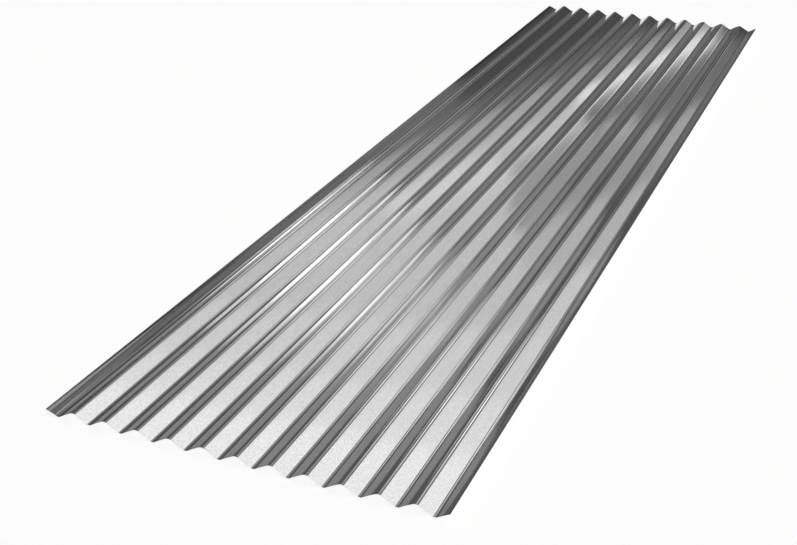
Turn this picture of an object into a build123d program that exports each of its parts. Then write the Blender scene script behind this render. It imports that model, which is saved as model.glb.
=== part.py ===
"""Corrugated steel sheet: one roll-formed, galvanised roofing sheet lying flat on its valleys.

The section is drawn once, in the XZ plane, along the underside of the sheet. Straight flanks run
tangent into round valleys and crests. The line is then thickened upwards and extruded along Y.
X runs across the waves, Y along them and Z up. The origin is under the middle of the sheet.
"""

import os
from math import asin, atan2, cos, degrees, hypot, radians, sin

from build123d import *

# Driving dimensions, in millimetres and degrees
sheet_length = 3600.0
sheet_thickness = 0.5
wave_pitch = 76.0
wave_depth = 18.0  # from a valley up to a crest, on one side of the sheet
inner_bend_radius = 12.0  # on the hollow side of every bend
valley_count = 12
left_flange_reach = 29.5  # from the first valley's middle out to the left edge
left_flange_angle = 23.0  # the left edge strip springs open, so it is flatter than the other flanks
right_flange_reach = 30.5  # from the last valley's middle out to the right edge

# Bends as the underside of the sheet meets them
valley_radius = inner_bend_radius + sheet_thickness
crest_radius = inner_bend_radius

# The one slope at which a straight flank runs tangent into a valley and a crest half a pitch away
half_pitch = wave_pitch / 2
both_radii = valley_radius + crest_radius
radii_over_depth = both_radii - wave_depth
flank_angle = degrees(
    asin(both_radii / hypot(half_pitch, radii_over_depth)) - atan2(radii_over_depth, half_pitch)
)


def straight_length(reach, angle, radii):
    """Length of a straight strip that covers what the bends beside it leave of a horizontal reach."""
    return (reach - radii * sin(radians(angle))) / cos(radians(angle))


flank_length = straight_length(half_pitch, flank_angle, both_radii)
left_flange_length = straight_length(left_flange_reach, left_flange_angle, valley_radius)
right_flange_length = straight_length(right_flange_reach, flank_angle, valley_radius)

# Overall width, and the height of the left edge above the underside of the valleys
sheet_width = left_flange_reach + (valley_count - 1) * wave_pitch + right_flange_reach
left_bend_rise = valley_radius * (1 - cos(radians(left_flange_angle)))
left_edge_height = left_bend_rise + left_flange_length * sin(radians(left_flange_angle))

with BuildPart() as corrugated_sheet:
    # The section is drawn at the far end, and the plane's normal points back along the sheet
    with BuildSketch(Plane.XZ.offset(-sheet_length / 2)):
        with BuildLine() as underside:
            strip = PolarLine(
                (-sheet_width / 2, left_edge_height), left_flange_length, -left_flange_angle
            )
            bend = JernArc(strip @ 1, strip % 1, valley_radius, left_flange_angle + flank_angle)
            for wave in range(valley_count - 1):
                strip = PolarLine(bend @ 1, flank_length, flank_angle)
                bend = JernArc(strip @ 1, strip % 1, crest_radius, -2 * flank_angle)
                strip = PolarLine(bend @ 1, flank_length, -flank_angle)
                bend = JernArc(strip @ 1, strip % 1, valley_radius, 2 * flank_angle)
            PolarLine(bend @ 1, right_flange_length, flank_angle)
            offset(amount=sheet_thickness, side=Side.LEFT, closed=True)
        make_face()
    extrude(amount=sheet_length)

corrugated_sheet.part.label = "corrugated_sheet"

os.makedirs("parts", exist_ok=True)
export_step(corrugated_sheet.part, "parts/corrugated_sheet.step")
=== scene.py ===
"""Corrugated steel sheet: the rolled, galvanised sheet and the studio it lies in."""

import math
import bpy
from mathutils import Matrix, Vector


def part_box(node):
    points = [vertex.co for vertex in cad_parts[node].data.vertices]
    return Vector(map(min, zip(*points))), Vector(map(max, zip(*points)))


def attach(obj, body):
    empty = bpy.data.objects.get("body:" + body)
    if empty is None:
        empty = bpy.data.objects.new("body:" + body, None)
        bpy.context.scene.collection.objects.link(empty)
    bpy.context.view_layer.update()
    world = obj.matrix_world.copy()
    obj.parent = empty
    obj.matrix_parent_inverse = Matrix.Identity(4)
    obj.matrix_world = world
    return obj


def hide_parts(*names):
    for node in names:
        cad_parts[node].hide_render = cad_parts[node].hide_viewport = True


bl_info = {
    "name": "Corrugated Steel Sheet",
    "version": (1, 0, 0),
    "blender": (4, 5, 0),
    "location": "View3D > Sidebar > Steel Sheet",
    "description": "Rolls a galvanised roofing sheet and lays it in a plain studio",
    "category": "Add Mesh",
}

import bmesh
import bpy
from bpy.props import FloatProperty, FloatVectorProperty, IntProperty, PointerProperty, StringProperty
from bpy.types import Operator, Panel, PropertyGroup
from mathutils import Matrix, Vector, noise

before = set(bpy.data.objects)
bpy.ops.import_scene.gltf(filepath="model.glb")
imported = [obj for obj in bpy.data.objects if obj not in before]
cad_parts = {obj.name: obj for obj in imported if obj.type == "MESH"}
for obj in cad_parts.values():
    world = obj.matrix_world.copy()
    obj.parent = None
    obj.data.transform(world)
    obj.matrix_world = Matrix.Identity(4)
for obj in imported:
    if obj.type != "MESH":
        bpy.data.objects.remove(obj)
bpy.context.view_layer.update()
NODE = "corrugated_sheet"
NODE_LOW, NODE_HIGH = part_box(NODE)

# The sheet's slow ripple: length of its swells in metres, and the slice of the noise it is taken from
RIPPLE_ACROSS = 0.12
RIPPLE_ALONG = 0.45
RIPPLE_SLICE = 3.0
# Edges that turn more than this are shaded sharp: only those round the cut ends and sides do
SHARP_TURN = math.radians(40)
# Full weight in the modifier that lets the larger of two faces set the shading where they meet
FLAT_WEIGHT = 100

# Zinc crystals are about 1 mm across. They are drawn at 2 mm, because finer ones would not show
CRYSTAL_SIZE = 0.002
# Lines that the rollers leave along the sheet, in metres, with the bump's strength and the noise's detail
LINE_SPACING = 0.003
LINE_LENGTH = 0.5
LINE_DEPTH = 0.00001
LINE_STRENGTH = 0.1
LINE_DETAIL = 2.0
# Crystals and lines together run over about this range, and the roughness varies with them by this much
UNEVEN_LOW = 0.3
UNEVEN_HIGH = 1.7
ROUGHNESS_SPREAD = 0.015

# The floor reaches this far from the middle, and lies just under the deepest valley, in metres
FLOOR_REACH = 80.0
FLOOR_DROP = 0.0005
FLOOR_GLOW = 0.55
FLOOR_ROUGHNESS = 0.9

# Upright lamp panels in a ring, as the sheet sees them: name, shape, from and to in degrees of azimuth
# from +Y towards +X, from and to in degrees of elevation, roll anticlockwise in degrees, and radiance
LAMPS = (
    ("wall_high", "RECTANGLE", 9.5, 68, 28, 66, 0, 0.65),
    ("wall_low", "RECTANGLE", 14.5, 63, 2, 28, 0, 0.53),
    ("wall_right", "RECTANGLE", 17.5, 60, 2, 28, 0, 0.18),
    ("notch_high", "RECTANGLE", 11, 14.5, 19, 25.5, 0, 0.34),
    ("notch_low", "RECTANGLE", 12, 14.5, 8, 19, 0, 0.42),
    ("gap", "RECTANGLE", 9.8, 12, 8, 20.5, 0, 0.15),
    ("strip_edge", "RECTANGLE", 7, 8, 17, 37, 0, 0.1),
    ("strip_high", "RECTANGLE", 8, 9.5, 21, 37, 0, 0.45),
    ("strip_low", "RECTANGLE", 8, 9.8, 14, 21, 0, 0.4),
    ("strip_core_top", "RECTANGLE", 10, 11.5, 25.5, 31, 0, 0.15),
    ("strip_core_high", "RECTANGLE", 9.5, 11, 21, 25, 0, 0.65),
    ("strip_core_low", "RECTANGLE", 8.9, 9.6, 14.5, 21, 0, 0.7),
    ("key_narrow", "RECTANGLE", 17.5, 74.5, 29, 60, 23, 0.17),
    ("key_middle", "RECTANGLE", 15, 77, 29, 60, 23, 0.13),
    ("key_wide", "RECTANGLE", 12, 80, 29, 60, 23, 0.12),
    ("hoop_low", "ELLIPSE", -39.5, -30.5, 6, 17, 0, 0.8),
    ("hoop_mid", "ELLIPSE", -32, -24.5, 19.5, 24.5, 0, 0.9),
    ("flame_core", "ELLIPSE", -17, -9, 32, 37.5, 0, 0.9),
    ("flame_halo", "ELLIPSE", -18.5, -7.5, 29.5, 41, 0, 0.7),
    ("left_low", "RECTANGLE", -46, -14, 1, 30, 0, 0.06),
    ("left_mid_low", "RECTANGLE", -14, -6, 10, 22, 0, 0.17),
    ("left_mid", "RECTANGLE", -20, -6, 22, 31, 0, 0.25),
    ("left_high", "RECTANGLE", -28, -9, 30, 60, 0, 0.32),
    ("far_left", "RECTANGLE", -60, -28, 25, 60, 0, 0.04),
    ("centre", "RECTANGLE", -6.5, 7, 26, 52, 0, 0.13),
    ("centre_low", "RECTANGLE", -2.5, 7, 12, 26, 0, 0.03),
    ("back_wall_high", "RECTANGLE", 112, 170, 28, 66, 0, 0.6),
    ("back_wall_low", "RECTANGLE", 117, 165, 2, 28, 0, 0.5),
    ("back_flame", "ELLIPSE", 189, 198, 29, 41, 0, 1.2),
    ("back_left", "RECTANGLE", 186, 208, 10, 60, 0, 0.28),
    ("back_far_left", "RECTANGLE", 208, 270, 2, 60, 0, 0.12),
)
# Far enough off, in metres, that every part of the sheet mirrors the panels alike. Each hangs a little
# farther off than the last, because of two panels in one plane the metal shows only one
LAMP_DISTANCE = 60.0
LAMP_STEP = 0.1
# A square lamp over the sheet, which lights the floor, and the faint light of the room
OVERHEAD_SIZE = 30.0
OVERHEAD_HEIGHT = 30.0
OVERHEAD_RADIANCE = 0.7
ROOM_RADIANCE = 0.045

# Width of the camera's sensor in millimetres, and how far it sees in metres
SENSOR_WIDTH = 36.0
CAMERA_RANGE = 200.0


class SheetSizes(PropertyGroup):
    """Sizes of the rolled sheet."""

    length: FloatProperty(
        name="Length",
        description="Length along the waves",
        default=NODE_HIGH.y - NODE_LOW.y,
        unit="LENGTH",
    )
    gauge: FloatProperty(
        name="Gauge",
        description="Thickness of the steel",
        default=0.0005,
        unit="LENGTH",
    )
    pitch: FloatProperty(
        name="Pitch",
        description="Width of one wave",
        default=0.076,
        unit="LENGTH",
    )
    depth: FloatProperty(
        name="Depth",
        description="Rise from a valley to a crest on one side",
        default=0.018,
        unit="LENGTH",
    )
    bend_radius: FloatProperty(
        name="Bend Radius",
        description="Radius on the hollow side of a bend",
        default=0.012,
        unit="LENGTH",
    )
    valley_radius: FloatProperty(
        name="Valley Radius",
        description="Radius on the hollow side of a valley, which the rolls press a little tighter",
        default=0.009,
        unit="LENGTH",
    )
    valleys: IntProperty(
        name="Valleys",
        description="Number of valleys across the sheet",
        default=12,
        min=2,
    )
    left_reach: FloatProperty(
        name="Left Reach",
        description="From the first valley out to the left edge",
        default=0.0295,
        unit="LENGTH",
    )
    left_slope: FloatProperty(
        name="Left Slope",
        description="Slope of the left edge strip, which springs open a little",
        default=math.radians(23.0),
        subtype="ANGLE",
    )
    left_bow: FloatProperty(
        name="Left Bow",
        description="Bulge of the left edge strip, which opens in a curve",
        default=0.001,
        unit="LENGTH",
    )
    right_reach: FloatProperty(
        name="Right Reach",
        description="From the last valley out to the right edge",
        default=0.0305,
        unit="LENGTH",
    )
    crown: FloatProperty(
        name="Crown",
        description="Slight bulge that springing back leaves on the flats that rise to the right",
        default=0.0003,
        unit="LENGTH",
    )
    flat_steps: IntProperty(
        name="Flat Steps",
        description="Facets across each flat",
        default=6,
        min=1,
    )
    bend_steps: IntProperty(
        name="Bend Steps",
        description="Facets round each bend",
        default=8,
        min=2,
    )
    length_steps: IntProperty(
        name="Length Steps",
        description="Rows of faces along the sheet",
        default=90,
        min=1,
    )
    ripple: FloatProperty(
        name="Ripple",
        description="Height of the slow waviness that thin rolled steel has",
        default=0.00025,
        unit="LENGTH",
    )


class SheetFinish(PropertyGroup):
    """Colours and gloss of the zinc."""

    zinc: StringProperty(
        name="Zinc",
        description="Clean zinc, as an sRGB hex colour",
        default="#E6E6E6",
    )
    zinc_dull: StringProperty(
        name="Dull Zinc",
        description="The duller grains, as an sRGB hex colour",
        default="#D4D4D4",
    )
    gloss: FloatProperty(
        name="Roughness",
        description="Roughness of the clean zinc",
        default=0.07,
        min=0.0,
        max=1.0,
        subtype="FACTOR",
    )


class StageSettings(PropertyGroup):
    """Camera and floor of the studio."""

    camera_place: FloatVectorProperty(
        name="Camera",
        description="Place of the camera, from the middle of the sheet's near end",
        default=(1.0761, -1.7797, 1.4433),
        subtype="TRANSLATION",
    )
    camera_turn: FloatProperty(
        name="Turn",
        description="Camera heading, to the left of the sheet's length",
        default=math.radians(22.501),
        subtype="ANGLE",
    )
    camera_dip: FloatProperty(
        name="Dip",
        description="How far the camera looks down",
        default=math.radians(26.388),
        subtype="ANGLE",
    )
    camera_roll: FloatProperty(
        name="Roll",
        description="Camera roll, anticlockwise",
        default=math.radians(0.755),
        subtype="ANGLE",
    )
    camera_lens: FloatProperty(
        name="Lens",
        description="Focal length in millimetres",
        default=57.415,
        min=1.0,
    )
    floor: StringProperty(
        name="Floor",
        description="Pale floor, as an sRGB hex colour",
        default="#F6F6F5",
    )


def linear(hex_colour):
    """An sRGB hex colour as linear red, green, blue and alpha."""
    values = [int(hex_colour[i : i + 2], 16) / 255 for i in (1, 3, 5)]
    return [v / 12.92 if v <= 0.04045 else ((v + 0.055) / 1.055) ** 2.4 for v in values] + [1.0]


def add_node(tree, kind, settings=None, inputs=None):
    """Adds a node, sets its properties, and sets or links its inputs."""
    node = tree.nodes.new(kind)
    for name, value in (settings or {}).items():
        setattr(node, name, value)
    for name, value in (inputs or {}).items():
        if isinstance(value, bpy.types.NodeSocket):
            tree.links.new(value, node.inputs[name])
        else:
            node.inputs[name].default_value = value
    return node


def add_math(tree, operation, first, second):
    """Adds a math node for two numbers or sockets, and gives its result."""
    return add_node(tree, "ShaderNodeMath", {"operation": operation}, {0: first, 1: second}).outputs["Value"]


def new_material(name):
    """An empty node material, with its output node."""
    material = bpy.data.materials.new(name)
    material.use_nodes = True
    material.node_tree.nodes.clear()
    return material, add_node(material.node_tree, "ShaderNodeOutputMaterial")


def galvanised_steel(finish):
    """Hot-dip galvanised steel, skin-passed by the mill.

    A thin zinc coat with a fine, even grain. It mirrors its surroundings, softened a little, and the
    rollers leave faint lines along the sheet.
    """
    material, output = new_material("galvanised_steel_skin_passed")
    tree = material.node_tree
    place = add_node(tree, "ShaderNodeTexCoord").outputs["Object"]
    # Each zinc crystal has its own shade
    cells = add_node(tree, "ShaderNodeTexVoronoi", inputs={"Vector": place, "Scale": 1 / CRYSTAL_SIZE})
    shade = add_node(tree, "ShaderNodeSeparateColor", inputs={"Color": cells.outputs["Color"]})
    crystal = shade.outputs["Red"]
    per_line = (1 / LINE_SPACING, 1 / LINE_LENGTH, 1 / LINE_SPACING)
    along = add_node(tree, "ShaderNodeMapping", inputs={"Vector": place, "Scale": per_line}).outputs["Vector"]
    lines = add_node(
        tree, "ShaderNodeTexNoise", inputs={"Vector": along, "Scale": 1.0, "Detail": LINE_DETAIL}
    ).outputs["Fac"]
    colour = add_node(
        tree,
        "ShaderNodeMix",
        {"data_type": "RGBA"},
        {"Factor": crystal, "A": linear(finish.zinc), "B": linear(finish.zinc_dull)},
    )
    roughness = add_node(
        tree,
        "ShaderNodeMapRange",
        inputs={
            "Value": add_math(tree, "ADD", crystal, lines),
            "From Min": UNEVEN_LOW,
            "From Max": UNEVEN_HIGH,
            "To Min": finish.gloss - ROUGHNESS_SPREAD,
            "To Max": finish.gloss + ROUGHNESS_SPREAD,
        },
    )
    bump = add_node(
        tree,
        "ShaderNodeBump",
        inputs={"Strength": LINE_STRENGTH, "Distance": LINE_DEPTH, "Height": lines},
    )
    steel = add_node(
        tree,
        "ShaderNodeBsdfPrincipled",
        inputs={
            "Base Color": colour.outputs["Result"],
            "Metallic": 1.0,
            "Roughness": roughness.outputs["Result"],
            "Normal": bump.outputs["Normal"],
        },
    )
    tree.links.new(steel.outputs["BSDF"], output.inputs["Surface"])
    return material


def matt_floor(colour):
    """Matt white floor paint. It glows a little to the eye and in the metal, and keeps its shadows."""
    material, output = new_material("matt_white_floor")
    tree = material.node_tree
    path = add_node(tree, "ShaderNodeLightPath").outputs
    seen = add_math(tree, "ADD", path["Is Camera Ray"], path["Is Glossy Ray"])
    seen = add_math(tree, "ADD", seen, path["Is Transmission Ray"])
    matt = add_node(
        tree,
        "ShaderNodeBsdfPrincipled",
        inputs={
            "Base Color": linear(colour),
            "Roughness": FLOOR_ROUGHNESS,
            "Emission Color": linear("#FFFFFF"),
            "Emission Strength": add_math(tree, "MULTIPLY", seen, FLOOR_GLOW),
        },
    )
    tree.links.new(matt.outputs["BSDF"], output.inputs["Surface"])
    return material


def flank_slope(sizes):
    """The one slope at which a flank runs tangent into a valley and a crest half a pitch away."""
    radii = 2 * sizes.bend_radius + sizes.gauge
    over = radii - sizes.depth
    half = sizes.pitch / 2
    return math.asin(radii / math.hypot(half, over)) - math.atan2(over, half)


def section_corners(sizes, slope):
    """Corners of the underside, where its straight flanks would meet if no fold were rounded."""
    inner = sizes.bend_radius
    outer = inner + sizes.gauge
    width = sizes.left_reach + (sizes.valleys - 1) * sizes.pitch + sizes.right_reach
    low = -outer * (1 / math.cos(slope) - 1)
    high = sizes.depth + inner * (1 / math.cos(slope) - 1)
    first = -width / 2 + sizes.left_reach
    lean = math.tan(sizes.left_slope)
    strip = sizes.left_reach - outer * math.sin(sizes.left_slope)
    left_height = outer * (1 - math.cos(sizes.left_slope)) + strip * lean
    # The left strip is flatter, so its fold's corner lies a little to the right of the valley's middle
    shift = (left_height - low - sizes.left_reach * lean) / (lean + math.tan(slope))
    corners = [(-width / 2, left_height), (first + shift, low + shift * math.tan(slope))]
    for wave in range(sizes.valleys - 1):
        corners.append((first + (wave + 0.5) * sizes.pitch, high))
        corners.append((first + (wave + 1) * sizes.pitch, low))
    corners.append((width / 2, low + sizes.right_reach * math.tan(slope)))
    return corners


def draw_out(corners, length):
    """The sharp zigzag through the corners, drawn out along Y."""
    bm = bmesh.new()
    vert = bm.verts.new((corners[0][0], -length / 2, corners[0][1]))
    for x, z in corners[1:]:
        vert = bmesh.ops.extrude_vert_indiv(bm, verts=[vert])["verts"][0]
        vert.co = (x, -length / 2, z)
    drawn = bmesh.ops.extrude_edge_only(bm, edges=bm.edges[:])["geom"]
    far_end = [g for g in drawn if isinstance(g, bmesh.types.BMVert)]
    bmesh.ops.translate(bm, vec=(0, length, 0), verts=far_end)
    return bm


def round_folds(bm, sizes, slope):
    """Rounds the folds. A fold's tangent length is its radius times the tangent of half its turn."""
    folds = sorted((e for e in bm.edges if len(e.link_faces) == 2), key=lambda e: e.verts[0].co.x)
    left_fold, valleys, crests = folds[:1], folds[2::2], folds[1::2]
    tight = sizes.valley_radius + sizes.gauge
    for group, radius, half_turn in (
        (left_fold, tight, (slope + sizes.left_slope) / 2),
        (valleys, tight, slope),
        (crests, sizes.bend_radius, slope),
    ):
        bmesh.ops.bevel(
            bm,
            geom=group,
            offset=radius * math.tan(half_turn),
            offset_type="OFFSET",
            segments=sizes.bend_steps,
            profile=0.5,
            affect="EDGES",
            material=-1,
        )


def divide(bm, sizes):
    """Cuts the flats into facets and the whole sheet into rows, so that it can swell a little."""
    shortest = sizes.bend_radius
    flats = [e for e in bm.edges if e.is_boundary and shortest < e.calc_length() < sizes.pitch]
    bmesh.ops.subdivide_edges(bm, edges=flats, cuts=sizes.flat_steps - 1, use_grid_fill=True)
    long_edges = [e for e in bm.edges if abs(e.verts[0].co.y - e.verts[1].co.y) > sizes.length / 2]
    bmesh.ops.subdivide_edges(bm, edges=long_edges, cuts=sizes.length_steps - 1, use_grid_fill=True)


def swell(bm, sizes, first):
    """Adds the slow ripple, the crown of the flats that rise to the right, and the left strip's bow."""
    for v in bm.verts:
        slow = noise.noise(Vector((v.co.x / RIPPLE_ACROSS, v.co.y / RIPPLE_ALONG, RIPPLE_SLICE)))
        rise = math.sin(2 * math.pi * (v.co.x - first) / sizes.pitch)
        outward = max(first - v.co.x, 0) / sizes.left_reach
        v.co.z += sizes.ripple * slow + sizes.crown * max(rise, 0) ** 2
        v.co.z += sizes.left_bow * math.sin(math.pi * outward) ** 2


def roll_sheet(sizes):
    """The sheet's mesh: a sharp zigzag drawn out along Y, its folds rounded, and the wall thickened."""
    slope = flank_slope(sizes)
    corners = section_corners(sizes, slope)
    bm = draw_out(corners, sizes.length)
    round_folds(bm, sizes, slope)
    divide(bm, sizes)
    swell(bm, sizes, corners[0][0] + sizes.left_reach)
    bmesh.ops.recalc_face_normals(bm, faces=bm.faces[:])
    if sum(f.normal.z for f in bm.faces) < 0:
        bmesh.ops.reverse_faces(bm, faces=bm.faces[:])
    bmesh.ops.solidify(bm, geom=bm.faces[:], thickness=-sizes.gauge)
    for face in bm.faces:
        face.smooth = True
    for edge in bm.edges:
        edge.smooth = edge.is_manifold and edge.calc_face_angle() < SHARP_TURN
    return bm


def finish_mesh(bm, name, material):
    """Turns a bmesh into an object of the scene, at the origin."""
    mesh = bpy.data.meshes.new(name)
    bm.to_mesh(mesh)
    bm.free()
    mesh.materials.append(material)
    obj = bpy.data.objects.new(name, mesh)
    bpy.context.scene.collection.objects.link(obj)
    return obj


def add_lamp(name, shape, width, height, radiance):
    """An area lamp that the camera does not see. Its power is its radiance times pi times its area."""
    lamp = bpy.data.lights.new(name, "AREA")
    lamp.shape = shape
    lamp.size = width
    lamp.size_y = height
    area = lamp.size * lamp.size_y * (math.pi / 4 if shape == "ELLIPSE" else 1)
    lamp.energy = radiance * math.pi * area
    obj = bpy.data.objects.new(name, lamp)
    obj.visible_camera = False
    bpy.context.scene.collection.objects.link(obj)
    return obj


class SHEET_OT_roll(Operator):
    """Roll the galvanised sheet"""

    bl_idname = "sheet.roll"
    bl_label = "Roll Sheet"

    def execute(self, context):
        scene = context.scene
        steel = galvanised_steel(scene.sheet_finish)
        sheet = finish_mesh(roll_sheet(scene.sheet_sizes), "rolled_sheet", steel)
        # The flats keep their own slope to the eye, and only the bends are shaded round
        flats = sheet.modifiers.new("flats", "WEIGHTED_NORMAL")
        flats.weight = FLAT_WEIGHT
        flats.keep_sharp = True
        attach(sheet, "root")
        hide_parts(NODE)
        return {"FINISHED"}


class SHEET_OT_stage(Operator):
    """Lay the floor, hang the lamps and place the camera"""

    bl_idname = "sheet.stage"
    bl_label = "Set Stage"

    def execute(self, context):
        scene = context.scene
        settings = scene.sheet_stage
        self.lay_floor(settings)
        self.hang_lamps()
        self.dim_room(scene)
        self.place_camera(scene, settings)
        scene.view_settings.view_transform = "Standard"
        return {"FINISHED"}

    def lay_floor(self, settings):
        """A wide pale floor."""
        bm = bmesh.new()
        bmesh.ops.create_grid(bm, x_segments=1, y_segments=1, size=FLOOR_REACH)
        bmesh.ops.translate(bm, vec=(0, 0, -FLOOR_DROP), verts=bm.verts[:])
        finish_mesh(bm, "floor", matt_floor(settings.floor))

    def hang_lamps(self):
        """The ring of upright panels round the sheet, and the lamp over it."""
        for index, (name, shape, left, right, low, high, roll, radiance) in enumerate(LAMPS):
            distance = LAMP_DISTANCE + LAMP_STEP * index
            bottom, top = (distance * math.tan(math.radians(edge)) for edge in (low, high))
            width = 2 * distance * math.tan(math.radians(right - left) / 2)
            obj = add_lamp(name, shape, width, top - bottom, radiance)
            middle = math.radians(left + right) / 2
            out = Vector((math.sin(middle), math.cos(middle), 0))
            upright = out.to_track_quat("Z", "Y").to_matrix()
            obj.location = out * distance + Vector((0, 0, (bottom + top) / 2))
            obj.rotation_euler = (upright @ Matrix.Rotation(math.radians(-roll), 3, "Z")).to_euler()
        overhead = add_lamp("overhead", "SQUARE", OVERHEAD_SIZE, OVERHEAD_SIZE, OVERHEAD_RADIANCE)
        overhead.location = (0, 0, OVERHEAD_HEIGHT)

    def dim_room(self, scene):
        """A faint, even light from all round."""
        world = bpy.data.worlds.new("dim_room")
        world.use_nodes = True
        tree = world.node_tree
        tree.nodes.clear()
        room = add_node(
            tree,
            "ShaderNodeBackground",
            inputs={"Color": linear("#FFFFFF"), "Strength": ROOM_RADIANCE},
        )
        output = add_node(tree, "ShaderNodeOutputWorld")
        tree.links.new(room.outputs["Background"], output.inputs["Surface"])
        scene.world = world

    def place_camera(self, scene, settings):
        """A camera at the photograph's place, with its heading, dip and roll."""
        turn, dip, roll = settings.camera_turn, settings.camera_dip, settings.camera_roll
        ahead = Vector((-math.sin(turn) * math.cos(dip), math.cos(turn) * math.cos(dip), -math.sin(dip)))
        right = Vector((math.cos(turn), math.sin(turn), 0))
        level = Matrix((right, right.cross(ahead), -ahead)).transposed().to_4x4()
        camera = bpy.data.cameras.new("camera")
        camera.sensor_fit = "HORIZONTAL"
        camera.sensor_width = SENSOR_WIDTH
        camera.lens = settings.camera_lens
        camera.clip_end = CAMERA_RANGE
        obj = bpy.data.objects.new("camera", camera)
        near_end = Vector((0, NODE_LOW.y, 0))
        place = Matrix.Translation(near_end + Vector(settings.camera_place))
        obj.matrix_world = place @ level @ Matrix.Rotation(roll, 4, "Z")
        scene.collection.objects.link(obj)
        scene.camera = obj


class SHEET_PT_panel(Panel):
    """Sizes, finish and stage of the sheet"""

    bl_label = "Steel Sheet"
    bl_space_type = "VIEW_3D"
    bl_region_type = "UI"
    bl_category = "Steel Sheet"

    def draw(self, context):
        scene = context.scene
        for group, operator in (
            (scene.sheet_sizes, None),
            (scene.sheet_finish, SHEET_OT_roll.bl_idname),
            (scene.sheet_stage, SHEET_OT_stage.bl_idname),
        ):
            column = self.layout.column(align=True)
            for name in group.__annotations__:
                column.prop(group, name)
            if operator:
                column.operator(operator)


CLASSES = (SheetSizes, SheetFinish, StageSettings, SHEET_OT_roll, SHEET_OT_stage, SHEET_PT_panel)


def register():
    for cls in CLASSES:
        bpy.utils.register_class(cls)
    bpy.types.Scene.sheet_sizes = PointerProperty(type=SheetSizes)
    bpy.types.Scene.sheet_finish = PointerProperty(type=SheetFinish)
    bpy.types.Scene.sheet_stage = PointerProperty(type=StageSettings)


def unregister():
    del bpy.types.Scene.sheet_stage
    del bpy.types.Scene.sheet_finish
    del bpy.types.Scene.sheet_sizes
    for cls in reversed(CLASSES):
        bpy.utils.unregister_class(cls)


def main():
    register()
    bpy.ops.sheet.roll()
    bpy.ops.sheet.stage()


if __name__ == "__main__":
    main()
